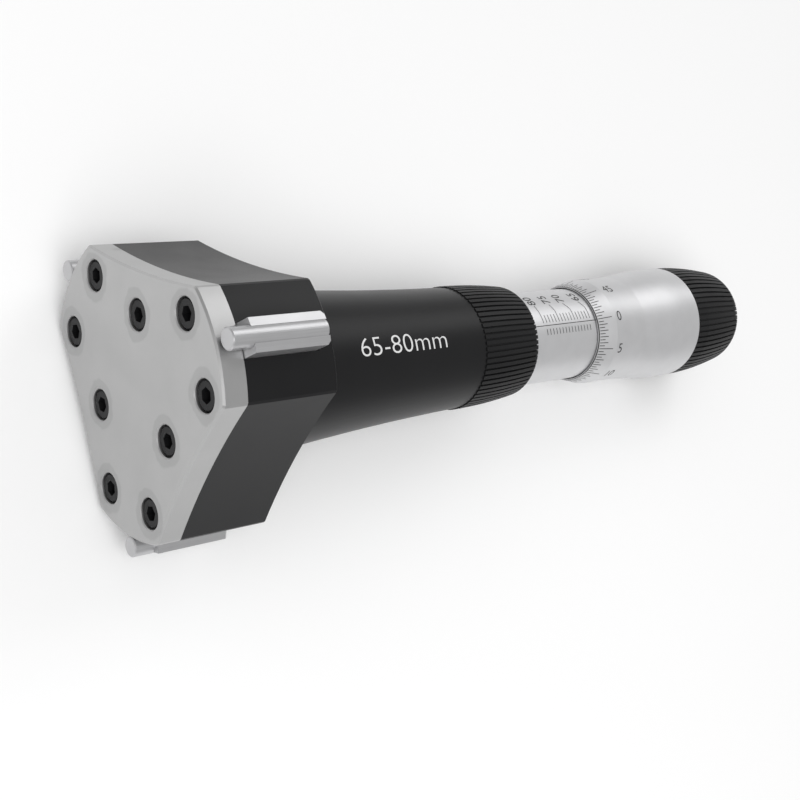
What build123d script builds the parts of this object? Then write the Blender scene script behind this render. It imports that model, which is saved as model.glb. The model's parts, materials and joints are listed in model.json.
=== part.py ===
from build123d import *
import os
from math import cos, radians, sin

# Three-point micrometer for measuring bores.
#
# Tool frame, in which every piece is made: the axis runs along +X, from the front face at x = 0 to
# the tail. Angles round the axis, called phi, are in degrees from +Z toward +Y. Anvil 1 points up,
# at phi = 0. At the end everything is tilted and lifted together, so that the micrometer lies on the
# table on two corners of its head and on its cap. Lengths are in millimetres.

# Measuring range: the diameter over the three contact pins
REST_DIAMETER = 63.5
LARGEST_DIAMETER = 80.0
ANVIL_TRAVEL = (LARGEST_DIAMETER - REST_DIAMETER) / 2
SPINDLE_TRAVEL = LARGEST_DIAMETER - REST_DIAMETER   # one millimetre forward opens one on diameter
RAMP = ANVIL_TRAVEL / SPINDLE_TRAVEL                # radial rise of the cone for each unit of length
ANVILS = (0, 120, 240)

# Fits: SEAT between pieces that don't move on each other, FIT between pieces that do
SEAT = 0.02
FIT = 0.05

# Head: outline, cover plate and body
HEAD_RADIUS = 27.5
HEAD_CORNER = 21.2          # degrees from an anvil to the corner beside it
SIDE_DISTANCE = 20.4        # from the axis to the middle of a hollow side
PLATE_THICK = 4.6
HEAD_END = 22.9
CORNER_BREAK = 0.3
RIM_BREAK = 0.35
TUBE_SOCKET_RADIUS = 13.9
TUBE_SOCKET_DEPTH = 2.0

# Cover screws and their holes
SCREW_OUTER_RADIUS = 22.0
SCREW_OUTER_ANGLE = 18.1    # degrees to each side of an anvil
SCREW_INNER_RADIUS = 12.75
SCREW_HEAD_RADIUS = 2.65
SCREW_HEAD_HEIGHT = 3.0
SCREW_SUNK = 0.4            # how far the head lies below the plate's face
SCREW_SHANK_RADIUS = 1.5
SCREW_SHANK_LENGTH = 8.0
SCREW_SOCKET_FLATS = 2.5
SCREW_SOCKET_DEPTH = 1.6
COUNTERBORE_RADIUS = 2.85
MOUTH_BREAK = 0.2

# Anvils: a block with a round contact pin along its top
BLOCK_WIDTH = 5.8
BLOCK_FRONT = 4.75
BLOCK_REAR = 19.7
BLOCK_BOTTOM = 2.3
BLOCK_SHOULDER = 30.85      # radius of the block's outer edges
BLOCK_CROWN = 31.2          # radius where its lands meet the pin
CROWN_HALF_WIDTH = 1.3
BLOCK_CORNER = 0.6
RAMP_START = 15.4           # where the block's foot begins to slope
PIN_RADIUS = 1.9
PIN_FRONT = 0.7
PIN_REAR = 19.6

# Return springs, each in a channel in an anvil's front, held by a pin in the cover plate
CHANNEL_HALF_WIDTH = 1.5
CHANNEL_BACK = 7.9
CHANNEL_BOTTOM = 5.5
CHANNEL_TOP = 19.1
STOP_PIN_RADIUS = 0.8
STOP_PIN_AT = 18.0
STOP_PIN_FRONT = 2.4
STOP_PIN_REAR = 7.6
SPRING_X = 6.3
SPRING_MEAN_RADIUS = 1.1
SPRING_WIRE_RADIUS = 0.18
SPRING_COILS = 9

# Cone, push rod and ball
CONE_TIP = 18.1
CONE_BASE = 35.0
CONE_LAND_END = 36.5
CONE_HUB_END = 38.6
CONE_HUB_RADIUS = 7.0
CAVITY_RADIUS = 12.5
CAVITY_CLEARANCE = 0.5
CAVITY_END = 39.5
ROD_RADIUS = 4.0
ROD_FRONT = 27.0
ROD_REAR = 76.0
CONE_PIN_RADIUS = 1.0
CONE_PIN_AT = 37.5
BALL_RADIUS = 2.0
BALL_SEAT_DEPTH = 0.8
BALL_GAP = 2.4
KEYWAY_HALF_WIDTH = 1.05
KEYWAY_BOTTOM = 2.4
KEYWAY_FRONT = 48.5
KEY_PIN_AT = 50.0
KEY_PIN_RADIUS = 1.0
KEY_PIN_TIP = 2.7
BUSH_FRONT = 44.0
BUSH_REAR = 60.0

# Handle: flared tube, collar, sleeve and inner barrel
TUBE_FRONT_RADIUS = 15.5
TUBE_MIDDLE = (48.0, 13.62)
TUBE_REAR = 73.2
TUBE_REAR_RADIUS = 12.68
TUBE_BORE_RADIUS = 8.0
TUBE_NECK_RADIUS = 11.0
TUBE_NECK_END = 80.0
COLLAR_FRONT_RADIUS = 12.9
COLLAR_MIDDLE = (81.6, 12.66)
COLLAR_SHOULDER = (89.0, 11.95)
COLLAR_ROUND = (89.72, 11.62)
COLLAR_REAR = 90.0
COLLAR_REAR_RADIUS = 10.95
COLLAR_RIBS = 66
FLANGE_END = 84.0
FLANGE_RADIUS = 10.95
SLEEVE_RADIUS = 10.15
SLEEVE_BORE_RADIUS = 9.2
SLEEVE_END = 118.0
BARREL_FRONT = 68.0
BARREL_BORE_RADIUS = 4.6
BARREL_STEP = 106.0
BARREL_SLIT_RADIUS = 6.6
BARREL_END = 119.0
SLIT_WIDTH = 0.6
NUT_THREAD_FRONT = 100.0
NUT_THREAD_RADIUS = 4.0
ADJUSTER_FRONT = 108.0
ADJUSTER_REAR = 115.0
ADJUSTER_RADIUS = 8.9
ADJUSTER_NOTCH = 1.2

# Spindle, thimble and its slipping drive
SPINDLE_PLAIN_RADIUS = 3.9
SPINDLE_PLAIN_END = 98.0
SPINDLE_THREAD_END = 135.6
SPINDLE_NECK_RADIUS = 3.6
TAPER_FRONT = (136.5, 5.2)
TAPER_REAR = (143.0, 4.5)
SPINDLE_END = 143.4
THIMBLE_EDGE = 110.5
THIMBLE_EDGE_RADIUS = 10.55
THIMBLE_GAP = 0.25          # all round the sleeve, seen as a dark line at the edge
THIMBLE_CREASE = (115.5, 11.87)
THIMBLE_NECK = (120.5, 11.84)
THIMBLE_NECK_END = (125.6, 11.93)
THIMBLE_SWELL = (132.4, 12.58)
THIMBLE_SWELL_ROUND = (135.8, 12.9)
THIMBLE_BODY = (139.4, 13.02)
THIMBLE_REAR = 144.4
THIMBLE_HUB = 136.3
STUD_FRONT = 132.0
STUD_SCREW_RADIUS = 2.0
STUD_SHOULDER_RADIUS = 5.6
STUD_SHOULDER_END = 148.9
STUD_RADIUS = 2.5
STUD_END = 161.8
WASHER_THICK = 1.05
CAP_WEB = (150.0, 153.0)
CLUTCH_NUT = (159.2, 161.6)
CLUTCH_NUT_RADIUS = 4.8
CLUTCH_SPRING_RADIUS = 3.7
CLUTCH_WIRE_RADIUS = 0.4
CLUTCH_COILS = 5
BUSH_WALL = 0.85
CAP_FRONT = 144.65
CAP_RADIUS = 12.95
CAP_BODY_END = 148.4
CAP_BEND = (155.2, 12.38)
CAP_SHOULDER = (161.0, 11.5)
CAP_ROUND = (163.95, 10.2)
CAP_END = 165.2
CAP_END_RADIUS = 8.3
CAP_RIBS = 60
CAP_FRONT_BORE = 10.4
CAP_REAR_BORE = 6.6
PLUG_RADIUS = 7.0
PLUG_FRONT = 162.6
PLUG_SUNK = 0.2

# Ribs of the collar and the cap
RIB_DEPTH = 0.42
RIB_TOP_SHARE = 0.62        # part of each pitch that the rib's top takes
RIB_FLANK_SLOPE = 0.12      # how much wider a rib is at its root, as a share of the pitch


def spot(x, phi, radius):
    """A point at a place along the axis, an angle round it and a distance from it."""
    return Vector(x, radius * sin(radians(phi)), radius * cos(radians(phi)))


def turned(*corners):
    """A solid turned about the axis, from the (x, radius) corners of its section."""
    return revolve(make_face(Polyline(*corners, close=True)), axis=Axis.X)


def turned_section(edges):
    """A solid turned about the axis, from the edges of its section in the XY plane."""
    return revolve(make_face(edges), axis=Axis.X)


def bar(radius, x_from, x_to, phi=0, off=0):
    """A round bar along the axis, its middle at an angle and a distance."""
    return Pos(*spot(x_from, phi, off)) * extrude(Plane.YZ * Circle(radius), x_to - x_from)


def block(x_from, x_to, half_width, z_from, z_to):
    """A box that is centred on y = 0."""
    middle = ((x_from + x_to) / 2, 0, (z_from + z_to) / 2)
    return Pos(*middle) * Box(x_to - x_from, 2 * half_width, z_to - z_from)


def turn_to(phi, shape):
    """A shape made for anvil 1, turned round the axis to another angle."""
    return Rot(X=-phi) * shape


def head_outline(x):
    """The head's outline: an arc round the axis over each anvil, and a hollow arc between them."""
    edges = []
    for anvil in ANVILS:
        start = spot(x, anvil - HEAD_CORNER, HEAD_RADIUS)
        corner = spot(x, anvil + HEAD_CORNER, HEAD_RADIUS)
        far_corner = spot(x, anvil + 120 - HEAD_CORNER, HEAD_RADIUS)
        edges.append(ThreePointArc(start, spot(x, anvil, HEAD_RADIUS), corner))
        edges.append(ThreePointArc(corner, spot(x, anvil + 60, SIDE_DISTANCE), far_corner))
    return make_face(edges)


def head_prism(x_from, x_to):
    """A slice of the head with its six long corners broken."""
    prism = extrude(head_outline(x_from), amount=x_to - x_from, dir=(1, 0, 0))
    return chamfer(prism.edges().filter_by(Axis.X), CORNER_BREAK)


def screw_places():
    """Angle and radius of each cover screw: a pair beside every anvil, and one in between."""
    places = []
    for anvil in ANVILS:
        places.append((anvil - SCREW_OUTER_ANGLE, SCREW_OUTER_RADIUS))
        places.append((anvil + SCREW_OUTER_ANGLE, SCREW_OUTER_RADIUS))
        places.append((anvil + 60, SCREW_INNER_RADIUS))
    return places


def cone_radius(x, advance=0.0):
    """Radius of the ramp that the anvils ride on, once the cone has moved forward."""
    return BLOCK_BOTTOM + RAMP * (x + advance - RAMP_START)


def cover_plate():
    """The light front plate, with counterbored screw holes and a hollow for the cone's tip."""
    plate = head_prism(0, PLATE_THICK)
    plate = chamfer(plate.edges().group_by(Axis.X)[0], RIM_BREAK)
    seat = SCREW_SUNK + SCREW_HEAD_HEIGHT
    mouth = COUNTERBORE_RADIUS + MOUTH_BREAK
    hole = turned((-1, 0), (-1, mouth), (0, mouth), (MOUTH_BREAK, COUNTERBORE_RADIUS),
                  (seat, COUNTERBORE_RADIUS), (seat, SCREW_SHANK_RADIUS + SEAT),
                  (PLATE_THICK + 1, SCREW_SHANK_RADIUS + SEAT), (PLATE_THICK + 1, 0))
    for phi, radius in screw_places():
        plate -= Pos(*spot(0, phi, radius)) * hole
    tip_front = CONE_TIP - SPINDLE_TRAVEL - 0.3
    plate -= bar(cone_radius(PLATE_THICK, SPINDLE_TRAVEL) + CAVITY_CLEARANCE, tip_front, PLATE_THICK + 1)
    for anvil in ANVILS:
        plate -= bar(STOP_PIN_RADIUS, STOP_PIN_FRONT, PLATE_THICK + 1, anvil, STOP_PIN_AT)
    return plate


def cover_screws():
    """The nine identical socket-head screws."""
    top = SCREW_SUNK
    seat = top + SCREW_HEAD_HEIGHT
    end = seat + SCREW_SHANK_LENGTH
    shank = SCREW_SHANK_RADIUS - SEAT
    screw = turned((top, 0), (top, SCREW_HEAD_RADIUS - 0.25), (top + 0.25, SCREW_HEAD_RADIUS),
                   (seat, SCREW_HEAD_RADIUS), (seat, shank), (end - 0.4, shank),
                   (end, shank - 0.4), (end, 0))
    socket = RegularPolygon(SCREW_SOCKET_FLATS / 2, 6, major_radius=False)
    screw -= Pos(top, 0, 0) * extrude(Plane.YZ * socket, SCREW_SOCKET_DEPTH)
    return [Pos(*spot(0, phi, radius)) * Rot(X=-phi) * screw for phi, radius in screw_places()]


def head_body():
    """The black head body: three anvil slots, a cavity for the cone and a socket for the tube."""
    body = head_prism(PLATE_THICK, HEAD_END)
    body = chamfer(body.edges().group_by(Axis.X)[-1], CORNER_BREAK)
    front = PLATE_THICK - 1
    widest = cone_radius(0, SPINDLE_TRAVEL) + CAVITY_CLEARANCE
    full_at = (CAVITY_RADIUS - widest) / RAMP
    body -= turned((front, 0), (front, widest + RAMP * front), (full_at, CAVITY_RADIUS),
                   (HEAD_END + 1, CAVITY_RADIUS), (HEAD_END + 1, 0))
    body -= bar(TUBE_SOCKET_RADIUS, HEAD_END - TUBE_SOCKET_DEPTH, HEAD_END + 1)
    slot = block(front, BLOCK_REAR + 2 * FIT, BLOCK_WIDTH / 2 + FIT, 0, HEAD_RADIUS + 2)
    for anvil in ANVILS:
        body -= turn_to(anvil, slot)
    thread_end = SCREW_SUNK + SCREW_HEAD_HEIGHT + SCREW_SHANK_LENGTH + 0.8
    for phi, radius in screw_places():
        body -= bar(SCREW_SHANK_RADIUS, front, thread_end, phi, radius)
    return body


def anvil_block():
    """Anvil 1: a sliding block with a sloping foot, a spring channel and a groove for its pin."""
    half = BLOCK_WIDTH / 2
    section = Polyline((0, -half, BLOCK_BOTTOM), (0, half, BLOCK_BOTTOM), (0, half, BLOCK_SHOULDER),
                       (0, CROWN_HALF_WIDTH, BLOCK_CROWN), (0, -CROWN_HALF_WIDTH, BLOCK_CROWN),
                       (0, -half, BLOCK_SHOULDER), close=True)
    length = BLOCK_REAR - BLOCK_FRONT
    anvil = Pos(BLOCK_FRONT, 0, 0) * extrude(make_face(section), amount=length, dir=(1, 0, 0))
    rear_edges = anvil.edges().filter_by(Axis.Z).group_by(Axis.X)[-1]
    anvil = chamfer(rear_edges, BLOCK_CORNER)
    beyond = BLOCK_REAR + 1
    foot = Polyline((RAMP_START, 0, cone_radius(RAMP_START)), (beyond, 0, cone_radius(beyond)),
                    (beyond, 0, 0), (RAMP_START, 0, 0), close=True)
    anvil -= extrude(make_face(foot), amount=half + 1, both=True)
    anvil -= bar(PIN_RADIUS + SEAT, BLOCK_FRONT - 1, BLOCK_REAR + 1, 0, pin_middle())
    anvil -= block(BLOCK_FRONT - 1, CHANNEL_BACK, CHANNEL_HALF_WIDTH, CHANNEL_BOTTOM, CHANNEL_TOP)
    return anvil


def pin_middle():
    """Radius of the contact pins' own axes at rest."""
    return REST_DIAMETER / 2 - PIN_RADIUS


def contact_pin():
    """The round contact pin of anvil 1, with broken ends."""
    end = PIN_RADIUS - 0.2
    pin = turned((PIN_FRONT, 0), (PIN_FRONT, end), (PIN_FRONT + 0.2, PIN_RADIUS),
                 (PIN_REAR - 0.2, PIN_RADIUS), (PIN_REAR, end), (PIN_REAR, 0))
    return Pos(0, 0, pin_middle()) * pin


def coil(mean_radius, wire_radius, coils, length):
    """A coil spring standing on the origin along +Z, between its outermost wire surfaces."""
    height = length - 2 * wire_radius
    path = Helix(height / coils, height, mean_radius)
    start = Plane(origin=path @ 0, z_dir=path % 0)
    return Pos(0, 0, wire_radius) * sweep(start * Circle(wire_radius), path=path, is_frenet=True)


def return_spring():
    """The return spring of anvil 1, from the channel's inner end to the stop pin."""
    bottom = CHANNEL_BOTTOM + 0.1
    top = STOP_PIN_AT - STOP_PIN_RADIUS - 0.1
    spring = coil(SPRING_MEAN_RADIUS, SPRING_WIRE_RADIUS, SPRING_COILS, top - bottom)
    return Pos(SPRING_X, 0, bottom) * spring


def spring_stop_pins():
    """The three pins in the cover plate that hold the springs' outer ends."""
    radius = STOP_PIN_RADIUS
    return [bar(radius, STOP_PIN_FRONT, STOP_PIN_REAR, anvil, STOP_PIN_AT) for anvil in ANVILS]


def actuating_cone():
    """The cone that spreads the anvils, with its hub on the push rod."""
    tip, base = cone_radius(CONE_TIP) - FIT, cone_radius(CONE_BASE) - FIT
    cone = turned((CONE_TIP, 0), (CONE_TIP, tip), (CONE_BASE, base), (CONE_LAND_END, base),
                  (CONE_LAND_END, CONE_HUB_RADIUS), (CONE_HUB_END, CONE_HUB_RADIUS), (CONE_HUB_END, 0))
    cone -= bar(ROD_RADIUS + SEAT, ROD_FRONT, CONE_HUB_END + 1)
    return cone - cross_bar(CONE_PIN_RADIUS + SEAT, 2 * CONE_HUB_RADIUS + 2)


def cross_bar(radius, length):
    """A round bar across the axis, along Y, at the cone's pin."""
    return Pos(CONE_PIN_AT, 0, 0) * Rot(X=90) * Cylinder(radius, length)


def push_rod():
    """The rod behind the cone, with its keyway and the ball's seat."""
    rod = bar(ROD_RADIUS, ROD_FRONT, ROD_REAR)
    rod -= bar(BALL_RADIUS + SEAT, ROD_REAR - BALL_SEAT_DEPTH, ROD_REAR + 1)
    keyway_end = KEY_PIN_AT + SPINDLE_TRAVEL + KEY_PIN_RADIUS + 0.5
    rod -= block(KEYWAY_FRONT, keyway_end, KEYWAY_HALF_WIDTH, KEYWAY_BOTTOM, ROD_RADIUS + 1)
    return rod - cross_bar(CONE_PIN_RADIUS + SEAT, 2 * ROD_RADIUS + 2)


def guide_bush():
    """The bush that guides the push rod, with the key pin's hole."""
    outer, inner = TUBE_BORE_RADIUS - SEAT, ROD_RADIUS + FIT
    bush = turned((BUSH_FRONT, inner), (BUSH_FRONT, outer), (BUSH_REAR, outer), (BUSH_REAR, inner))
    hole = Cylinder(KEY_PIN_RADIUS, TUBE_BORE_RADIUS, align=(Align.CENTER, Align.CENTER, Align.MIN))
    return bush - Pos(KEY_PIN_AT, 0, KEY_PIN_TIP) * hole


def key_pin():
    """The pin that reaches from the guide bush into the rod's keyway."""
    length = TUBE_BORE_RADIUS - 2 * SEAT - KEY_PIN_TIP
    pin = Cylinder(KEY_PIN_RADIUS - SEAT, length, align=(Align.CENTER, Align.CENTER, Align.MIN))
    return Pos(KEY_PIN_AT, 0, KEY_PIN_TIP) * pin


def thrust_ball():
    """The ball between the rod and the spindle."""
    return Pos(ROD_REAR - BALL_SEAT_DEPTH + BALL_RADIUS, 0, 0) * Sphere(BALL_RADIUS)


def handle_tube():
    """The black flared tube, with a spigot in the head and a neck inside the collar."""
    socket = HEAD_END - TUBE_SOCKET_DEPTH
    spigot = TUBE_SOCKET_RADIUS - SEAT
    flare = ThreePointArc((HEAD_END, TUBE_FRONT_RADIUS), TUBE_MIDDLE, (TUBE_REAR, TUBE_REAR_RADIUS))
    behind = Polyline((TUBE_REAR, TUBE_REAR_RADIUS), (TUBE_REAR, TUBE_NECK_RADIUS),
                      (TUBE_NECK_END, TUBE_NECK_RADIUS), (TUBE_NECK_END, TUBE_BORE_RADIUS),
                      (CAVITY_END, TUBE_BORE_RADIUS), (CAVITY_END, CAVITY_RADIUS),
                      (socket, CAVITY_RADIUS), (socket, spigot), (HEAD_END, spigot),
                      (HEAD_END, TUBE_FRONT_RADIUS))
    return turned_section([flare, behind])


def ribbed(section, ribs, x_from, x_to, widest):
    """A turned solid with ribs along it. section(drop) gives its edges, lowered by drop."""
    pitch = 360 / ribs
    top = RIB_TOP_SHARE * pitch / 2
    root = top + RIB_FLANK_SLOPE * pitch
    reach, deep = widest + 0.5, widest - 3.5
    corners = []
    for rib in range(ribs):
        middle = rib * pitch
        corners += [spot(x_from, middle - root, deep), spot(x_from, middle - top, reach),
                    spot(x_from, middle + top, reach), spot(x_from, middle + root, deep)]
    star = extrude(make_face(Polyline(*corners, close=True)), amount=x_to - x_from, dir=(1, 0, 0))
    return (turned_section(section(0)) & star) + turned_section(section(RIB_DEPTH))


def collar_section(drop):
    """Edges of the collar's section. drop lowers the outside from the ribs' tops to the grooves."""
    lip = SLEEVE_RADIUS + FIT
    neck = TUBE_NECK_RADIUS + SEAT
    front = (TUBE_REAR + SEAT, COLLAR_FRONT_RADIUS - drop)
    outline = (COLLAR_MIDDLE, COLLAR_SHOULDER, COLLAR_ROUND)
    middle, shoulder, bend = [(x, radius - drop) for x, radius in outline]
    rear = (COLLAR_REAR, COLLAR_REAR_RADIUS - drop)
    inside = Polyline(rear, (COLLAR_REAR, lip), (FLANGE_END + SEAT, lip), (FLANGE_END + SEAT, neck),
                      (TUBE_REAR + SEAT, neck), front)
    return [ThreePointArc(front, middle, shoulder), ThreePointArc(shoulder, bend, rear), inside]


def collar_grip():
    """The ribbed collar that holds the barrel's flange on the tube."""
    return ribbed(collar_section, COLLAR_RIBS, TUBE_REAR, COLLAR_REAR + 1, COLLAR_FRONT_RADIUS)


def inner_barrel():
    """The fixed barrel with the nut thread's bore and a rear end slit three times."""
    spigot = TUBE_BORE_RADIUS - SEAT
    outer = SLEEVE_BORE_RADIUS - SEAT
    barrel = turned((BARREL_FRONT, spigot), (TUBE_NECK_END, spigot), (TUBE_NECK_END, FLANGE_RADIUS),
                    (FLANGE_END, FLANGE_RADIUS), (FLANGE_END, outer), (BARREL_STEP, outer),
                    (BARREL_STEP, BARREL_SLIT_RADIUS), (BARREL_END, BARREL_SLIT_RADIUS),
                    (BARREL_END, NUT_THREAD_RADIUS), (NUT_THREAD_FRONT, NUT_THREAD_RADIUS),
                    (NUT_THREAD_FRONT, BARREL_BORE_RADIUS), (BARREL_FRONT, BARREL_BORE_RADIUS))
    slit = block(BARREL_STEP + 1, BARREL_END + 1, SLIT_WIDTH / 2, 0, BARREL_SLIT_RADIUS + 1)
    for anvil in ANVILS:
        barrel -= turn_to(anvil + 60, slit)
    return barrel


def scale_sleeve():
    """The light sleeve that carries the millimetre scale."""
    front = FLANGE_END + 2 * SEAT
    return turned((front, SLEEVE_BORE_RADIUS), (front, SLEEVE_RADIUS), (SLEEVE_END, SLEEVE_RADIUS),
                  (SLEEVE_END, SLEEVE_BORE_RADIUS))


def adjusting_nut():
    """The nut that closes the barrel's slit end on the thread, with four spanner notches."""
    inner = BARREL_SLIT_RADIUS + SEAT
    nut = turned((ADJUSTER_FRONT, inner), (ADJUSTER_FRONT, ADJUSTER_RADIUS),
                 (ADJUSTER_REAR, ADJUSTER_RADIUS), (ADJUSTER_REAR, inner))
    notch = block(ADJUSTER_REAR - ADJUSTER_NOTCH, ADJUSTER_REAR + 1, ADJUSTER_NOTCH / 2,
                  inner - 1, ADJUSTER_RADIUS + 1)
    for quarter in range(4):
        nut -= turn_to(90 * quarter, notch)
    return nut


def spindle_screw():
    """The spindle: ball seat, plain front, threaded length and the taper for the thimble."""
    front = ROD_REAR + BALL_GAP
    thread = NUT_THREAD_RADIUS - FIT
    spindle = turned((front, 0), (front, SPINDLE_PLAIN_RADIUS), (SPINDLE_PLAIN_END, SPINDLE_PLAIN_RADIUS),
                     (SPINDLE_PLAIN_END, thread), (SPINDLE_THREAD_END, thread),
                     (SPINDLE_THREAD_END, SPINDLE_NECK_RADIUS), (TAPER_FRONT[0], SPINDLE_NECK_RADIUS),
                     TAPER_FRONT, TAPER_REAR, (SPINDLE_END, TAPER_REAR[1]), (SPINDLE_END, 0))
    spindle -= bar(BALL_RADIUS + SEAT, front - 1, front + BALL_SEAT_DEPTH)
    return spindle - bar(STUD_SCREW_RADIUS, STUD_FRONT - 0.5, SPINDLE_END + 1)


def thimble():
    """The thimble: bevelled scale edge, neck, swelling rear end and a hub on the spindle's taper."""
    bore = SLEEVE_RADIUS + THIMBLE_GAP
    edge = (THIMBLE_EDGE, THIMBLE_EDGE_RADIUS)
    rear = (THIMBLE_REAR, THIMBLE_BODY[1])
    outside = [Line(edge, THIMBLE_CREASE),
               ThreePointArc(THIMBLE_CREASE, THIMBLE_NECK, THIMBLE_NECK_END),
               Line(THIMBLE_NECK_END, THIMBLE_SWELL),
               ThreePointArc(THIMBLE_SWELL, THIMBLE_SWELL_ROUND, THIMBLE_BODY),
               Line(THIMBLE_BODY, rear)]
    inside = Polyline(rear, (THIMBLE_REAR, TAPER_REAR[1] + SEAT), (TAPER_REAR[0], TAPER_REAR[1] + SEAT),
                      (TAPER_FRONT[0], TAPER_FRONT[1] + SEAT), (THIMBLE_HUB, TAPER_FRONT[1] + SEAT),
                      (THIMBLE_HUB, bore), (THIMBLE_EDGE, bore), edge)
    return turned_section(outside + [inside])


def drive_stud():
    """The stud screwed into the spindle: its shoulder clamps the thimble and carries the clutch."""
    screw = STUD_SCREW_RADIUS - SEAT
    return turned((STUD_FRONT, 0), (STUD_FRONT, screw), (THIMBLE_REAR, screw),
                  (THIMBLE_REAR, STUD_SHOULDER_RADIUS), (STUD_SHOULDER_END, STUD_SHOULDER_RADIUS),
                  (STUD_SHOULDER_END, STUD_RADIUS), (STUD_END, STUD_RADIUS), (STUD_END, 0))


def clutch_washers():
    """The two friction washers, one on each side of the cap's web."""
    inner = STUD_RADIUS + SEAT
    washer = turned((0, inner), (0, STUD_SHOULDER_RADIUS), (WASHER_THICK, STUD_SHOULDER_RADIUS),
                    (WASHER_THICK, inner))
    return [Pos(STUD_SHOULDER_END, 0, 0) * washer, Pos(CAP_WEB[1] + FIT, 0, 0) * washer]


def clutch_spring():
    """The spring that presses the cap's web between the washers."""
    front = CAP_WEB[1] + FIT + WASHER_THICK + SEAT
    spring = coil(CLUTCH_SPRING_RADIUS, CLUTCH_WIRE_RADIUS, CLUTCH_COILS, CLUTCH_NUT[0] - SEAT - front)
    return Pos(front, 0, 0) * Rot(Y=90) * spring


def clutch_nut():
    """The hexagonal nut that loads the spring."""
    nut = extrude(Plane.YZ * RegularPolygon(CLUTCH_NUT_RADIUS, 6), CLUTCH_NUT[1] - CLUTCH_NUT[0])
    return Pos(CLUTCH_NUT[0], 0, 0) * nut - bar(STUD_RADIUS + SEAT, CLUTCH_NUT[0] - 1, STUD_END)


def cap_section(drop):
    """Edges of the cap's section. drop lowers the outside from the ribs' tops to the grooves."""
    front, body = (CAP_FRONT, CAP_RADIUS - drop), (CAP_BODY_END, CAP_RADIUS - drop)
    bend, shoulder, bow = [(x, radius - drop) for x, radius in (CAP_BEND, CAP_SHOULDER, CAP_ROUND)]
    rear = (CAP_END, CAP_END_RADIUS - drop)
    bush = STUD_RADIUS + FIT + BUSH_WALL
    inside = Polyline(rear, (CAP_END, PLUG_RADIUS), (PLUG_FRONT, PLUG_RADIUS), (PLUG_FRONT, CAP_REAR_BORE),
                      (CAP_WEB[1], CAP_REAR_BORE), (CAP_WEB[1], bush), (CAP_WEB[0], bush),
                      (CAP_WEB[0], CAP_FRONT_BORE), (CAP_FRONT, CAP_FRONT_BORE), front)
    outside = [Line(front, body), ThreePointArc(body, bend, shoulder), ThreePointArc(shoulder, bow, rear)]
    return outside + [inside]


def drive_cap():
    """The ribbed cap that turns the thimble through the slipping drive."""
    return ribbed(cap_section, CAP_RIBS, CAP_FRONT - 1, CAP_END + 1, CAP_RADIUS)


def cap_bush():
    """The bearing bush in the cap's web."""
    inner = STUD_RADIUS + FIT
    outer = inner + BUSH_WALL - SEAT
    return turned((CAP_WEB[0], inner), (CAP_WEB[0], outer), (CAP_WEB[1], outer), (CAP_WEB[1], inner))


def end_plug():
    """The plug that closes the cap."""
    radius, end = PLUG_RADIUS - SEAT, CAP_END - PLUG_SUNK
    return turned((PLUG_FRONT, 0), (PLUG_FRONT, radius), (end - 0.2, radius), (end, radius - 0.2), (end, 0))


def lowest(shape, tilt):
    """Height of a shape's lowest point once it is tilted tail down."""
    return (Rot(Y=tilt) * shape).bounding_box().min.Z


def lie_angle(head, tail):
    """The tilt at which the head's corners and the tail touch one level surface, by halving."""
    low, high = 0.0, 10.0
    for _ in range(30):
        tilt = (low + high) / 2
        if lowest(tail, tilt) > lowest(head, tilt):
            low = tilt
        else:
            high = tilt
    return (low + high) / 2


def pieces():
    """Every node's name with its solid, or its list of solids, in the tool frame."""
    named = {
        "cover_plate": cover_plate(), "cover_screws": cover_screws(), "head_body": head_body(),
        "spring_stop_pins": spring_stop_pins(), "handle_tube": handle_tube(),
        "collar_grip": collar_grip(), "guide_bush": guide_bush(), "key_pin": key_pin(),
        "inner_barrel": inner_barrel(), "scale_sleeve": scale_sleeve(), "adjusting_nut": adjusting_nut(),
        "actuating_cone": actuating_cone(), "push_rod": push_rod(), "thrust_ball": thrust_ball(),
        "cone_pin": cross_bar(CONE_PIN_RADIUS, 2 * CONE_HUB_RADIUS - 0.4),
        "spindle_screw": spindle_screw(), "thimble": thimble(), "drive_stud": drive_stud(),
        "clutch_washers": clutch_washers(), "clutch_spring": clutch_spring(), "clutch_nut": clutch_nut(),
        "drive_cap": drive_cap(), "cap_bush": cap_bush(), "end_plug": end_plug(),
    }
    made_once = {"anvil_block": anvil_block(), "contact_pin": contact_pin(), "return_spring": return_spring()}
    for name, shape in made_once.items():
        for number, anvil in enumerate(ANVILS, start=1):
            named[f"{name}_{number}"] = turn_to(anvil, shape)
    return named


def together(solids):
    """One solid as it is, or a group of them."""
    return solids[0] if len(solids) == 1 else Compound(solids)


def main():
    named = pieces()
    tilt = lie_angle(named["head_body"], turned_section(cap_section(0)))
    laid = {}
    for name, made in named.items():
        shapes = made if isinstance(made, list) else [made]
        laid[name] = [Rot(Y=tilt) * solid for shape in shapes for solid in shape.solids()]
    box = Compound([solid for solids in laid.values() for solid in solids]).bounding_box()
    lift = Pos(-box.center().X, -box.center().Y, -box.min.Z)
    os.makedirs("parts", exist_ok=True)
    for name, solids in laid.items():
        export_step(together([lift * solid for solid in solids]), f"parts/{name}.step")
    print("tilt in degrees", round(tilt, 5))
    print("tool origin in the row frame, mm", [round(v, 5) for v in lift.position])
    print("size", box.size)


main()
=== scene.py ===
import json
from math import cos, radians, sin

import bmesh
import bpy
import numpy as np
from bpy.props import FloatProperty, FloatVectorProperty, PointerProperty, StringProperty
from mathutils import Matrix, Vector


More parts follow.
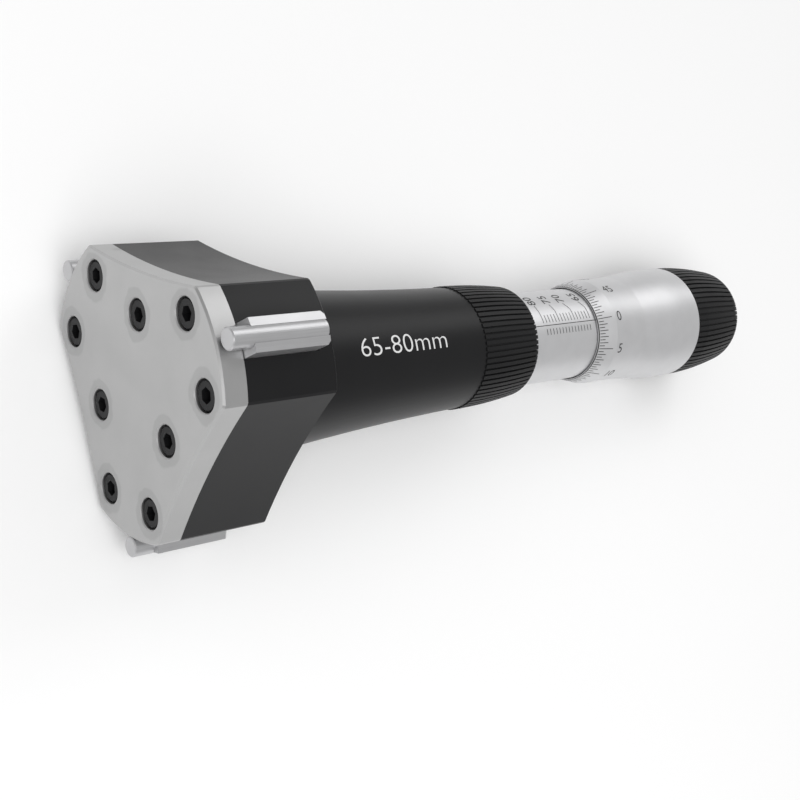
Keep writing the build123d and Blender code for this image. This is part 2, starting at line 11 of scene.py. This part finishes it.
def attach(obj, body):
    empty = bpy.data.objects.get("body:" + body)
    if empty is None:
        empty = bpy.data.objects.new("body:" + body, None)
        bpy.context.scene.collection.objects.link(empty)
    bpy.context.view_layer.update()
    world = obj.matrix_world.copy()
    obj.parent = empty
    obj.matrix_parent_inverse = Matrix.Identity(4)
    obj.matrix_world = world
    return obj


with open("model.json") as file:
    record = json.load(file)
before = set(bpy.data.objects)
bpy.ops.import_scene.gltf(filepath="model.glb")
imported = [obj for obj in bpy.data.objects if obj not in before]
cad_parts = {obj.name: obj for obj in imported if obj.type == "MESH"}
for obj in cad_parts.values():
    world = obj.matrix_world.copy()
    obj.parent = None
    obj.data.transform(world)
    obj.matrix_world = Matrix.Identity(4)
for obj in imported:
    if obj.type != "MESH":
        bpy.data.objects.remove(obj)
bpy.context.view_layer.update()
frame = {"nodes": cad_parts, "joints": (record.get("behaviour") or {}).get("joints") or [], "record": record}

bl_info = {
    "name": "Three-point micrometer dressing",
    "version": (1, 0, 0),
    "blender": (4, 5, 0),
    "location": "3D View > Sidebar > Micrometer",
    "description": "Scales, lettering, finishes and studio for a three-point micrometer",
    "category": "Object",
}

MM = 0.001

# Places are given in the tool's own frame: millimetres along the axis from the front face, degrees
# round it from anvil 1, and millimetres from it. The frame's record says where that frame lies.
FACE = frame["record"]["mounts"][0]
ORIGIN = np.array(FACE["pos_m"])
ALONG = -np.array(FACE["axis"])
UPWARD = np.array(next(each["axis"] for each in frame["joints"] if each["name"] == "anvil_1_slide"))
ACROSS = np.cross(UPWARD, ALONG)

# Sleeve scale: one tick a millimetre above the reference line, the halves below it, and a number's
# place along the axis beside its value
SLEEVE_RADIUS = 10.15
SCALE_LOW, SCALE_HIGH = 65, 80
LOW_TICK_AT = 109.0
HALF_TICK_SHIFT = 0.5
REFERENCE_ANGLE = 1.2
REFERENCE_FROM, REFERENCE_TO = 90.1, 117.9
UPPER_TICKS = (4.6, 15.0)
LOWER_TICKS = (-10.5, -3.2)
LEADER_KINK_ANGLE, LEADER_END_ANGLE = 20.0, 29.5
SCALE_NUMBERS = {80: 93.8, 75: 98.5, 70: 102.9, 65: 108.0}
SCALE_NUMBER_ANGLE = 39.5

# Thimble scale: a bevelled edge with a hundred divisions. A turn is half a millimetre, so two of them
# are a hundredth, and every tenth one has the number of its hundredths.
BEVEL = ((110.5, 10.55), (115.5, 11.87))
NECK = ((115.5, 11.87), (120.5, 11.84), (125.6, 11.93))
DIVISIONS = 100
DIVISIONS_A_HUNDREDTH = 2
NUMBERED_EVERY = 10
DIVISION_FROM = 110.95
LONG_TICK, EVEN_TICK, ODD_TICK = 114.6, 113.1, 112.3
NUMBER_AT_ONE_DIGIT, NUMBER_AT_TWO_DIGITS = 116.9, 118.2
# Painted shade: a dark ring at the front of the bevel stands for the shadow in the gap between sleeve and
# thimble. These are its place along the axis, its width, and the degrees of each piece of it.
GAP_SHADE_AT, GAP_SHADE_WIDTH = 110.65, 0.3
GAP_SHADE_STEP = 10

# Range lettering on the flared tube
TUBE = ((22.9, 15.5), (48.0, 13.62), (73.2, 12.68))
RANGE_FROM, RANGE_TO = 39.7, 62.3
RANGE_BASE_ANGLE = -10.0

# How finely marks are drawn: points along a stroke, a letter's curves, the millimetres between the
# cuts through letters, and how far their outlines are drawn in, in shares of the type size
STROKE_POINTS = 13
LETTER_RESOLUTION = 4
LETTER_CUT = 0.4
NUMBER_THINNING, RANGE_THINNING = 0.002, 0.012

# Holes of the cover plate as (angle, radius), and the darker haze round them, which ends a width
# beyond the rim, over a narrow edge, and wanders in and out by about a millimetre
ANVIL_ANGLES = (0, 120, 240)
OUTER_HOLE_ANGLE, OUTER_HOLE_RADIUS = 18.1, 22.0
INNER_HOLE_ANGLE, INNER_HOLE_RADIUS = 60, 12.75
OUTER_SIDES = (-OUTER_HOLE_ANGLE, OUTER_HOLE_ANGLE)
HOLES = [(anvil + side, OUTER_HOLE_RADIUS) for anvil in ANVIL_ANGLES for side in OUTER_SIDES]
HOLES += [(anvil + INNER_HOLE_ANGLE, INNER_HOLE_RADIUS) for anvil in ANVIL_ANGLES]
HOLE_RIM, HAZE_WIDTH, HAZE_EDGE = 2.9, 1.7, 0.35
HAZE_WANDER = 2.4

# The camera, in the tool's frame
CAMERA_PLACE = (-111.53, -37.08, 194.24)
CAMERA_RIGHT = (0.7475, -0.2441, 0.6178)
CAMERA_DOWN = (-0.1166, -0.9638, -0.2397)
CAMERA_FORWARD = (0.6540, 0.1071, -0.7489)
SENSOR_WIDTH = 36.0
CLIP_NEAR, CLIP_FAR = 0.01, 20.0

# Floor and lamps, in metres in the row's frame
FLOOR_HALF = 2.5
FLOOR_ROUGHNESS = 0.9
KEY_PLACE, KEY_SIZE = (-0.35, -0.30, 0.75), 0.6
FILL_PLACE, FILL_SIZE = (0.55, 0.45, 0.55), 0.5


def on_tool(along, angle, radius):
    """Row-frame points in metres from places along the axis, angles round it and distances from it.

    A point is the origin, plus the place along the axis, plus the distance times the angle's sine
    across and its cosine upward.
    """
    turn = np.radians(np.asarray(angle, dtype=float))
    along, turn, radius = np.broadcast_arrays(np.asarray(along, dtype=float), turn, radius)
    return ORIGIN + MM * (along[..., None] * ALONG + (radius * np.sin(turn))[..., None] * ACROSS
                          + (radius * np.cos(turn))[..., None] * UPWARD)


def arc_height(along, first, middle, last):
    """Radius at places along the axis on the circle through three (place, radius) points.

    The centre is where the chords' bisectors cross. The arc lies on the middle point's side of it.
    """
    points = np.array([first, middle, last])
    rows = 2 * (points[1:] - points[:1])
    centre = np.linalg.solve(rows, (points[1:] ** 2).sum(axis=1) - (points[0] ** 2).sum())
    reach = np.linalg.norm(points[0] - centre)
    side = np.sign(points[1][1] - centre[1])
    return centre[1] + side * np.sqrt(reach ** 2 - (np.asarray(along) - centre[0]) ** 2)


def sleeve_surface(along):
    """The sleeve is a plain cylinder."""
    return np.full(np.shape(along), SLEEVE_RADIUS)


def thimble_surface(along):
    """The bevel is a cone, and behind it the neck is a shallow hollow arc."""
    bevel = np.interp(along, *zip(*BEVEL))
    return np.where(np.asarray(along) < NECK[0][0], bevel, arc_height(along, *NECK))


def tube_surface(along):
    """The tube's outside is one long hollow arc."""
    return arc_height(along, *TUBE)


def new_piece(name, shape, material, body):
    """A mesh object at the origin that rides on a body.

    A shape is three arrays: points, the point number at each face's corners, one face after another,
    and the place in that list where each face starts.
    """
    points, corners, starts = shape
    faces = [face.tolist() for face in np.split(corners, starts[1:])]
    mesh = bpy.data.meshes.new(name)
    mesh.from_pydata(points.tolist(), [], faces)
    mesh.materials.append(material)
    piece = bpy.data.objects.new(name, mesh)
    bpy.context.scene.collection.objects.link(piece)
    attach(piece, body)


def gathered(shapes):
    """Several shapes as one. Each one's numbers are shifted past those of the shapes before it."""
    points, corners, starts = zip(*shapes)
    points_before = np.cumsum([0] + [len(some) for some in points[:-1]])
    corners_before = np.cumsum([0] + [len(some) for some in corners[:-1]])
    corners = [some + before for some, before in zip(corners, points_before)]
    starts = [some + before for some, before in zip(starts, corners_before)]
    return np.concatenate(points), np.concatenate(corners), np.concatenate(starts)


def strokes(surface, strips, width, proud):
    """The shape of thin engraved strokes that follow a turned surface.

    Each strip runs straight from (place, angle) to (place, angle). It is a grid of steps along it by
    two points across it, offset to each side by half the width, measured on the surface.
    """
    ends = np.array(strips, dtype=float)
    start, end = ends[:, None, 0:2], ends[:, None, 2:4]
    share = np.linspace(0, 1, STROKE_POINTS)[None, :, None]
    middle = start + share * (end - start)
    per_degree = np.radians(surface(middle[..., 0]))
    run = (end - start)[:, 0]
    flat = np.stack([run[:, 0], run[:, 1] * per_degree[:, 0]], axis=1)
    flat /= np.linalg.norm(flat, axis=1, keepdims=True)
    side = np.array([-0.5, 0.5]) * width
    along = middle[..., 0, None] - flat[:, 1, None, None] * side
    angle = middle[..., 1, None] + flat[:, 0, None, None] * side / per_degree[..., None]
    points = on_tool(along, angle, surface(along) + proud).reshape(-1, 3)
    strip, step = np.meshgrid(np.arange(len(ends)), np.arange(STROKE_POINTS - 1), indexing="ij")
    corner = ((strip * STROKE_POINTS + step) * 2).ravel()
    corners = np.stack([corner, corner + 2, corner + 3, corner + 1], axis=1)
    return points, corners.ravel(), np.arange(0, corners.size, corners.shape[1])


def flat_places(mesh):
    """The first two coordinates of a mesh's vertices."""
    places = np.empty(3 * len(mesh.vertices))
    mesh.vertices.foreach_get("co", places)
    return places.reshape(-1, 3)[:, :2]


def typeset(text, thinning):
    """A flat mesh of one line of text, with its outlines drawn in by the thinning."""
    curve = bpy.data.curves.new("lettering", "FONT")
    curve.body = text
    curve.resolution_u = LETTER_RESOLUTION
    curve.offset = -thinning
    holder = bpy.data.objects.new("lettering", curve)
    bpy.context.scene.collection.objects.link(holder)
    bpy.context.view_layer.update()
    finished = holder.evaluated_get(bpy.context.evaluated_depsgraph_get())
    mesh = bpy.data.meshes.new_from_object(finished)
    bpy.data.objects.remove(holder)
    bpy.data.curves.remove(curve)
    return mesh


def letters(text, height, thinning):
    """The flat shape of one line of text, the whole line a given height, centred on the origin.

    Its faces are cut by evenly spaced lines both ways, so that they follow a curved surface when they
    are wrapped on it.
    """
    mesh = typeset(text, thinning)
    places = flat_places(mesh)
    low, high = places.min(axis=0), places.max(axis=0)
    scale = height / (high[1] - low[1])
    reach = (high - low) / 2 * scale
    flat = bmesh.new()
    flat.from_mesh(mesh)
    flat.transform(Matrix.Scale(scale, 4) @ Matrix.Translation((*(-(low + high) / 2), 0)))
    for axis in (0, 1):
        across = Vector((1 - axis, axis, 0))
        for cut in np.arange(-reach[axis] + LETTER_CUT, reach[axis], LETTER_CUT):
            whole = [*flat.verts, *flat.edges, *flat.faces]
            bmesh.ops.bisect_plane(flat, geom=whole, plane_co=across * cut, plane_no=across)
    flat.to_mesh(mesh)
    flat.free()
    points = flat_places(mesh)
    corners = np.empty(len(mesh.loops), dtype=np.int32)
    starts = np.empty(len(mesh.polygons), dtype=np.int32)
    mesh.loops.foreach_get("vertex_index", corners)
    mesh.polygons.foreach_get("loop_start", starts)
    bpy.data.meshes.remove(mesh)
    return points, corners, starts


def wrapped(shape, surface, along, angle, proud, reads_round=False):
    """A flat shape laid on a turned surface. It reads toward the tail, or round with its top forward.

    One flat direction becomes a place along the axis, and the other an arc, whose angle is its length
    over the surface's radius there.
    """
    flat, corners, starts = shape
    if reads_round:
        place, arc = along - flat[:, 1], flat[:, 0]
    else:
        place, arc = along + flat[:, 0], flat[:, 1]
    points = on_tool(place, angle + np.degrees(arc / surface(place)), surface(place) + proud)
    return points, corners, starts


class Value:
    """A shader socket in an expression. The operators are for numbers, and each adds a Math node."""

    def __init__(self, finish, socket):
        self.finish = finish
        self.socket = socket

    def maths(self, operation, first, second=None):
        """A Math node of one or two numbers."""
        inputs = {0: first} if second is None else {0: first, 1: second}
        return self.finish.node("ShaderNodeMath", {"operation": operation}, inputs)

    def __add__(self, other):
        return self.maths("ADD", self, other)

    __radd__ = __add__

    def __mul__(self, other):
        return self.maths("MULTIPLY", self, other)

    __rmul__ = __mul__

    def __sub__(self, other):
        return self.maths("SUBTRACT", self, other)

    def __rsub__(self, other):
        return self.maths("SUBTRACT", other, self)

    def __truediv__(self, other):
        return self.maths("DIVIDE", self, other)

    def smallest(self, other):
        return self.maths("MINIMUM", self, other)

    def root(self):
        return self.maths("SQRT", self)

    def clamped(self):
        """The number kept between 0 and 1."""
        return self.finish.node("ShaderNodeClamp", {}, {0: self})


class Finish:
    """A material's node tree, with a Principled shader and places in the tool's frame."""

    def __init__(self, name):
        self.material = bpy.data.materials.new(name)
        self.material.use_nodes = True
        self.nodes = self.material.node_tree.nodes
        self.links = self.material.node_tree.links
        self.shader = self.nodes["Principled BSDF"]

    def node(self, kind, settings, inputs, output=0):
        """Any node: its settings first, then the values or links of its sockets."""
        made = self.nodes.new(kind)
        for name, value in settings.items():
            setattr(made, name, value)
        for key, value in inputs.items():
            if isinstance(value, Value):
                self.links.new(value.socket, made.inputs[key])
            else:
                made.inputs[key].default_value = value
        return Value(self, made.outputs[output])

    def place(self):
        """Distance along the axis, across it and up from it, in millimetres, as three values."""
        here = self.node("ShaderNodeTexCoord", {}, {}, "Object")
        inputs = {0: here, 1: tuple(ORIGIN)}
        from_origin = self.node("ShaderNodeVectorMath", {"operation": "SUBTRACT"}, inputs)
        parts = []
        for axis in (ALONG, ACROSS, UPWARD):
            inputs = {0: from_origin, 1: tuple(axis)}
            part = self.node("ShaderNodeVectorMath", {"operation": "DOT_PRODUCT"}, inputs, "Value")
            parts.append(part / MM)
        return parts

    def noise(self, parts, scale=1.0, detail=3.0):
        """Noise between 0 and 1, at a scale in bumps for each millimetre of the three parts."""
        where = self.node("ShaderNodeCombineXYZ", {}, dict(enumerate(parts)))
        return self.node("ShaderNodeTexNoise", {}, {"Vector": where, "Scale": scale, "Detail": detail})

    def tint(self, share, shade, colour):
        """A colour between its own darker or lighter shade and itself, by a share.

        Sockets 6 and 7 of a Mix node are its two colours, and output 2 is the mixed one.
        """
        inputs = {0: share, 6: (*shade, 1), 7: (*colour, 1)}
        return self.node("ShaderNodeMix", {"data_type": "RGBA"}, inputs, 2)

    def feed(self, name, value):
        """Link a value to one of the shader's sockets."""
        self.links.new(value.socket, self.shader.inputs[name])

    def bump(self, height, depth):
        """Bump from a height between 0 and 1, of a depth in millimetres."""
        inputs = {"Strength": 1.0, "Distance": depth * MM, "Height": height}
        self.feed("Normal", self.node("ShaderNodeBump", {}, inputs))

    def plain(self, **values):
        """Set the shader's sockets that are the same all over. An underscore stands for a space."""
        for name, value in values.items():
            self.shader.inputs[name.replace("_", " ")].default_value = value


def shaded(colour, share):
    """A colour made darker or lighter by a share."""
    return tuple(share * part for part in colour)


def turned_finish(name, colour, metal, rough, groove, gloss=0.5):
    """A lathe-turned or polished surface: fine rings round the axis and faint cloudiness."""
    ring_rate, ring_drift = 9, 0.02
    finish = Finish(name)
    along, across, up = finish.place()
    rings = finish.noise((along * ring_rate, across * ring_drift, up * ring_drift), detail=4.0)
    cloud = finish.noise((along, across, up), scale=0.35)
    finish.feed("Base Color", finish.tint(cloud, shaded(colour, 0.9), colour))
    finish.feed("Roughness", (rings - 0.5) * 0.16 + (cloud - 0.5) * 0.03 + rough)
    finish.bump(rings, groove)
    finish.plain(Metallic=metal, Specular_IOR_Level=gloss)
    return finish.material


def nearest_hole(across, up):
    """Distance to the middle of the nearest hole of the cover plate, square to the axis."""
    nearest = None
    for angle, radius in HOLES:
        side = across - radius * sin(radians(angle))
        rise = up - radius * cos(radians(angle))
        distance = (side * side + rise * rise).root()
        nearest = distance if nearest is None else nearest.smallest(distance)
    return nearest


def plate_finish(colour):
    """Satin plate: fine fleck all over, and a darker haze round each screw hole."""
    finish = Finish("satin_plate")
    along, across, up = finish.place()
    wander = (finish.noise((along, across, up), scale=0.22) - 0.5) * HAZE_WANDER
    haze = ((HOLE_RIM + HAZE_WIDTH - nearest_hole(across, up) + wander) / HAZE_EDGE).clamped()
    fleck = finish.noise((along, across, up), scale=9.0, detail=5.0)
    cloud = finish.noise((along, across, up), scale=0.12)
    share = (0.55 + fleck * 0.25 + cloud * 0.35 - haze * 0.22).clamped()
    finish.feed("Base Color", finish.tint(share, shaded(colour, 0.62), colour))
    finish.feed("Roughness", 0.36 + fleck * 0.12 + haze * 0.06)
    finish.bump(fleck, 0.004)
    finish.plain(Metallic=1.0)
    return finish.material


def ground_finish(colour):
    """Ground steel: long scratches parallel to the axis, uneven in depth and brightness."""
    scratch_length, scratch_rate = 0.08, 7
    finish = Finish("ground_steel")
    along, across, up = finish.place()
    places = (along * scratch_length, across * scratch_rate, up * scratch_rate)
    scratches = finish.noise(places, detail=6.0)
    cloud = finish.noise((along, across, up), scale=0.3)
    share = (scratches * 0.7 + cloud * 0.3).clamped()
    finish.feed("Base Color", finish.tint(share, shaded(colour, 0.72), colour))
    finish.feed("Roughness", 0.24 + scratches * 0.22)
    finish.bump(scratches, 0.01)
    finish.plain(Metallic=0.8)
    return finish.material


def black_finish(name, colour, rough, grain, depth):
    """Anodised metal or moulded rubber: near black, with a fine grain and slightly uneven sheen."""
    finish = Finish(name)
    along, across, up = finish.place()
    fine = finish.noise((along, across, up), scale=grain, detail=4.0)
    cloud = finish.noise((along, across, up), scale=0.15)
    share = (fine * 0.5 + cloud * 0.5).clamped()
    finish.feed("Base Color", finish.tint(share, colour, shaded(colour, 1.5)))
    finish.feed("Roughness", (fine - 0.5) * 0.12 + (cloud - 0.5) * 0.08 + rough)
    finish.bump(fine, depth)
    finish.plain(Specular_IOR_Level=0.2)
    return finish.material


def paint_finish(name, colour, rough):
    """The filling of an engraved mark, and on the thimble also the painted shade of its gap: a flat paint, a
    little uneven in colour and sheen.
    """
    finish = Finish(name)
    uneven = finish.noise(finish.place(), scale=3.0)
    finish.feed("Base Color", finish.tint(uneven, shaded(colour, 0.8), colour))
    finish.feed("Roughness", rough + uneven * 0.1)
    return finish.material


def colour_property(name, description, default):
    """A colour that a user can change."""
    return FloatVectorProperty(name=name, description=description, default=default, subtype="COLOR",
                               size=3, min=0, max=1)


class MarkingSettings(bpy.types.PropertyGroup):
    stroke: FloatProperty(name="Stroke", description="Width of an engraved line in millimetres",
                          default=0.16, min=0.02, max=1)
    proud: FloatProperty(name="Proud", description="How far the paint stands out, in millimetres",
                         default=0.02, min=0, max=0.2)
    number_height: FloatProperty(name="Number height", description="Height of a number in millimetres",
                                 default=2.2, min=0.5, max=5)
    range_text: StringProperty(name="Range", description="Measuring range on the handle", default="65-80mm")
    range_height: FloatProperty(name="Range height", description="Height of its digits in millimetres",
                                default=3.5, min=1, max=8)
    # The scale colour also paints the dark ring of painted shade at the thimble's front edge
    dark: colour_property("Scale colour", "Paint in the marks of both scales", (0.02, 0.02, 0.02))
    light: colour_property("Range colour", "Paint in the handle's lettering", (0.78, 0.78, 0.78))


class FinishSettings(bpy.types.PropertyGroup):
    plate: colour_property("Plate", "Colour of the satin cover plate", (0.50, 0.50, 0.50))
    ground: colour_property("Ground steel", "Colour of the anvils and the cone", (0.60, 0.60, 0.61))
    chrome: colour_property("Satin chrome", "Colour of the sleeve and the thimble", (0.68, 0.68, 0.69))
    steel: colour_property("Bare steel", "Colour of the turned inner pieces", (0.56, 0.56, 0.57))
    bronze: colour_property("Bronze", "Colour of the bushes", (0.62, 0.44, 0.24))
    disc: colour_property("Friction disc", "Colour of the clutch's washers", (0.20, 0.15, 0.11))
    black: colour_property("Black", "Colour of the anodised and the ribbed pieces", (0.007, 0.007, 0.0075))
    oxide: colour_property("Black oxide", "Colour of the screws", (0.010, 0.010, 0.011))


class StudioSettings(bpy.types.PropertyGroup):
    lens: FloatProperty(name="Lens", description="Focal length in millimetres on a 36 mm frame",
                        default=58.4, min=10, max=300)
    floor: colour_property("Floor", "Colour of the plain floor", (0.96, 0.96, 0.96))
    key: FloatProperty(name="Key", description="Power of the large soft lamp", default=4.6, subtype="POWER")
    fill: FloatProperty(name="Fill", description="Power of the lamp on the other side", default=1.4,
                        subtype="POWER")
    sky: FloatProperty(name="Sky", description="Strength of the even light from all round", default=0.5)


class DressingSettings(bpy.types.PropertyGroup):
    marking: PointerProperty(type=MarkingSettings, name="Marking", description="Scales and lettering")
    finish: PointerProperty(type=FinishSettings, name="Finish", description="Colours of the pieces")
    studio: PointerProperty(type=StudioSettings, name="Studio", description="Floor, lamps and camera")


class MICROMETER_OT_finishes(bpy.types.Operator):
    """Give every piece of the micrometer its finish"""
    bl_idname = "micrometer.finishes"
    bl_label = "Finishes"

    def execute(self, context):
        chosen = context.scene.micrometer.finish
        chrome, steel, bronze = tuple(chosen.chrome), tuple(chosen.steel), tuple(chosen.bronze)
        oxide, black, disc = tuple(chosen.oxide), tuple(chosen.black), tuple(chosen.disc)
        made = {
            "satin_plate": plate_finish(tuple(chosen.plate)),
            "ground_steel": ground_finish(tuple(chosen.ground)),
            "satin_chrome": turned_finish("satin_chrome", chrome, metal=0.72, rough=0.42, groove=0.003),
            "bare_steel": turned_finish("bare_steel", steel, metal=1.0, rough=0.34, groove=0.008),
            "spring_steel": turned_finish("spring_steel", steel, metal=1.0, rough=0.28, groove=0.003),
            "bronze": turned_finish("bronze", bronze, metal=1.0, rough=0.36, groove=0.008),
            "black_oxide": turned_finish("black_oxide", oxide, metal=0.2, rough=0.42, groove=0.004,
                                         gloss=0.25),
            "black_anodised": black_finish("black_anodised", black, rough=0.36, grain=6.0, depth=0.006),
            "ribbed_black": black_finish("ribbed_black", black, rough=0.46, grain=3.5, depth=0.015),
            "friction_disc": black_finish("friction_disc", disc, rough=0.75, grain=4.0, depth=0.03),
        }
        slots = {part["node"]: part["material_slot"] for part in frame["record"]["subparts"]}
        for name, node in frame["nodes"].items():
            node.data.materials.clear()
            node.data.materials.append(made[slots[name]])
        return {"FINISHED"}


class MICROMETER_OT_sleeve_scale(bpy.types.Operator):
    """Engrave the millimetre scale on the sleeve"""
    bl_idname = "micrometer.sleeve_scale"
    bl_label = "Sleeve scale"

    def execute(self, context):
        marking = context.scene.micrometer.marking
        low, high = UPPER_TICKS
        lines = [(REFERENCE_FROM, REFERENCE_ANGLE, REFERENCE_TO, REFERENCE_ANGLE)]
        for value in range(SCALE_LOW, SCALE_HIGH + 1):
            at = LOW_TICK_AT - (value - SCALE_LOW)
            lines.append((at, low, at, high))
            if value in SCALE_NUMBERS:
                lines.append((at, high, at, LEADER_KINK_ANGLE))
                lines.append((at, LEADER_KINK_ANGLE, SCALE_NUMBERS[value], LEADER_END_ANGLE))
            if value < SCALE_HIGH:
                half = at - HALF_TICK_SHIFT
                lines.append((half, LOWER_TICKS[0], half, LOWER_TICKS[1]))
        shapes = [strokes(sleeve_surface, lines, marking.stroke, marking.proud)]
        for value, at in SCALE_NUMBERS.items():
            number = letters(str(value), marking.number_height, NUMBER_THINNING)
            shapes.append(wrapped(number, sleeve_surface, at, SCALE_NUMBER_ANGLE, marking.proud,
                                  reads_round=True))
        paint = paint_finish("scale_paint", tuple(marking.dark), rough=0.5)
        new_piece("sleeve_scale", gathered(shapes), paint, "head_and_handle")
        return {"FINISHED"}


class MICROMETER_OT_thimble_scale(bpy.types.Operator):
    """Engrave the divisions and their numbers on the thimble, and paint the shade of the gap at its front
    edge
    """
    bl_idname = "micrometer.thimble_scale"
    bl_label = "Thimble scale"

    def execute(self, context):
        marking = context.scene.micrometer.marking
        lines, shapes = [], []
        for division in range(DIVISIONS):
            angle = REFERENCE_ANGLE - 360 / DIVISIONS * division
            end = ODD_TICK if division % 2 else EVEN_TICK
            if division % NUMBERED_EVERY == 0:
                end = LONG_TICK
                text = str(division // DIVISIONS_A_HUNDREDTH)
                at = NUMBER_AT_ONE_DIGIT if len(text) == 1 else NUMBER_AT_TWO_DIGITS
                number = letters(text, marking.number_height, NUMBER_THINNING)
                shapes.append(wrapped(number, thimble_surface, at, angle, marking.proud))
            lines.append((DIVISION_FROM, angle, end, angle))
        # Painted shade: a dark ring round the bevel's front stands for the shadow in the gap between sleeve
        # and thimble
        turns = range(0, 360, GAP_SHADE_STEP)
        edge = [(GAP_SHADE_AT, turn, GAP_SHADE_AT, turn + GAP_SHADE_STEP) for turn in turns]
        shapes.append(strokes(thimble_surface, lines, marking.stroke, marking.proud))
        shapes.append(strokes(thimble_surface, edge, GAP_SHADE_WIDTH, marking.proud))
        paint = paint_finish("thimble_paint_and_gap_shade", tuple(marking.dark), rough=0.5)
        new_piece("thimble_scale_and_gap_shade", gathered(shapes), paint, "thimble_assembly")
        return {"FINISHED"}


class MICROMETER_OT_range_lettering(bpy.types.Operator):
    """Letter the measuring range on the handle's tube"""
    bl_idname = "micrometer.range_lettering"
    bl_label = "Range lettering"

    def execute(self, context):
        marking = context.scene.micrometer.marking
        flat, corners, starts = letters(marking.range_text, marking.range_height, RANGE_THINNING)
        flat[:, 0] *= (RANGE_TO - RANGE_FROM) / np.ptp(flat[:, 0])
        place = (RANGE_FROM + RANGE_TO) / 2
        half_height = np.degrees(marking.range_height / 2 / float(tube_surface(place)))
        angle = RANGE_BASE_ANGLE + half_height
        shape = wrapped((flat, corners, starts), tube_surface, place, angle, marking.proud)
        paint = paint_finish("range_paint", tuple(marking.light), rough=0.45)
        new_piece("range_lettering", shape, paint, "head_and_handle")
        return {"FINISHED"}


class MICROMETER_OT_studio(bpy.types.Operator):
    """Add the floor, the soft lamps, the sky and the camera"""
    bl_idname = "micrometer.studio"
    bl_label = "Studio"

    def execute(self, context):
        studio = context.scene.micrometer.studio
        self.floor(context.scene, tuple(studio.floor))
        self.sky(context.scene, studio.sky)
        self.lamp(context.scene, "key_lamp", KEY_PLACE, KEY_SIZE, studio.key)
        self.lamp(context.scene, "fill_lamp", FILL_PLACE, FILL_SIZE, studio.fill)
        self.camera(context.scene, studio.lens)
        context.scene.view_settings.view_transform = "Standard"
        return {"FINISHED"}

    def floor(self, scene, colour):
        """A plain square floor on which the micrometer lies."""
        signs = ((-1, -1), (1, -1), (1, 1), (-1, 1))
        mesh = bpy.data.meshes.new("floor")
        mesh.from_pydata([(x * FLOOR_HALF, y * FLOOR_HALF, 0) for x, y in signs], [], [(0, 1, 2, 3)])
        finish = Finish("floor")
        finish.plain(Base_Color=(*colour, 1), Roughness=FLOOR_ROUGHNESS)
        mesh.materials.append(finish.material)
        floor = bpy.data.objects.new("floor", mesh)
        scene.collection.objects.link(floor)

    def sky(self, scene, strength):
        """Even white light from all round."""
        world = bpy.data.worlds.new("studio")
        world.use_nodes = True
        even = world.node_tree.nodes["Background"]
        even.inputs["Color"].default_value = (1, 1, 1, 1)
        even.inputs["Strength"].default_value = strength
        scene.world = world

    def lamp(self, scene, name, place, size, power):
        """A square soft lamp that points at the row's origin."""
        light = bpy.data.lights.new(name, "AREA")
        light.energy = power
        light.size = size
        lamp = bpy.data.objects.new(name, light)
        lamp.location = place
        lamp.rotation_euler = (-Vector(place)).to_track_quat("-Z", "Y").to_euler()
        scene.collection.objects.link(lamp)

    def camera(self, scene, lens):
        """The camera, turned from the tool's frame to the row's. It looks down its own -Z, with +Y up."""
        data = bpy.data.cameras.new("camera")
        data.lens = lens
        data.sensor_width = SENSOR_WIDTH
        data.clip_start, data.clip_end = CLIP_NEAR, CLIP_FAR
        camera = bpy.data.objects.new("camera", data)
        tool = np.array([ALONG, ACROSS, UPWARD])
        right, down, forward = np.array([CAMERA_RIGHT, CAMERA_DOWN, CAMERA_FORWARD]) @ tool
        columns = np.array([right, -down, -forward]).T
        turn = Matrix(columns.tolist()).to_quaternion().to_matrix().to_4x4()
        place = ORIGIN + MM * np.array(CAMERA_PLACE) @ tool
        camera.matrix_world = Matrix.Translation(place.tolist()) @ turn
        scene.collection.objects.link(camera)
        scene.camera = camera


class MICROMETER_PT_dressing(bpy.types.Panel):
    """The operators and their settings, in the sidebar"""
    bl_idname = "MICROMETER_PT_dressing"
    bl_label = "Micrometer"
    bl_space_type = "VIEW_3D"
    bl_region_type = "UI"
    bl_category = "Micrometer"

    def draw(self, context):
        for operator in OPERATORS:
            self.layout.operator(operator.bl_idname)
        for group in ("marking", "finish", "studio"):
            settings = getattr(context.scene.micrometer, group)
            box = self.layout.box()
            for name in settings.__annotations__:
                box.prop(settings, name)


OPERATORS = (MICROMETER_OT_finishes, MICROMETER_OT_sleeve_scale, MICROMETER_OT_thimble_scale,
             MICROMETER_OT_range_lettering, MICROMETER_OT_studio)
CLASSES = (MarkingSettings, FinishSettings, StudioSettings, DressingSettings, *OPERATORS,
           MICROMETER_PT_dressing)


def register():
    for each in CLASSES:
        bpy.utils.register_class(each)
    bpy.types.Scene.micrometer = PointerProperty(type=DressingSettings)


def unregister():
    del bpy.types.Scene.micrometer
    for each in reversed(CLASSES):
        bpy.utils.unregister_class(each)


def main():
    register()
    for operator in OPERATORS:
        group, name = operator.bl_idname.split(".")
        getattr(getattr(bpy.ops, group), name)()


if __name__ == "__main__":
    main()
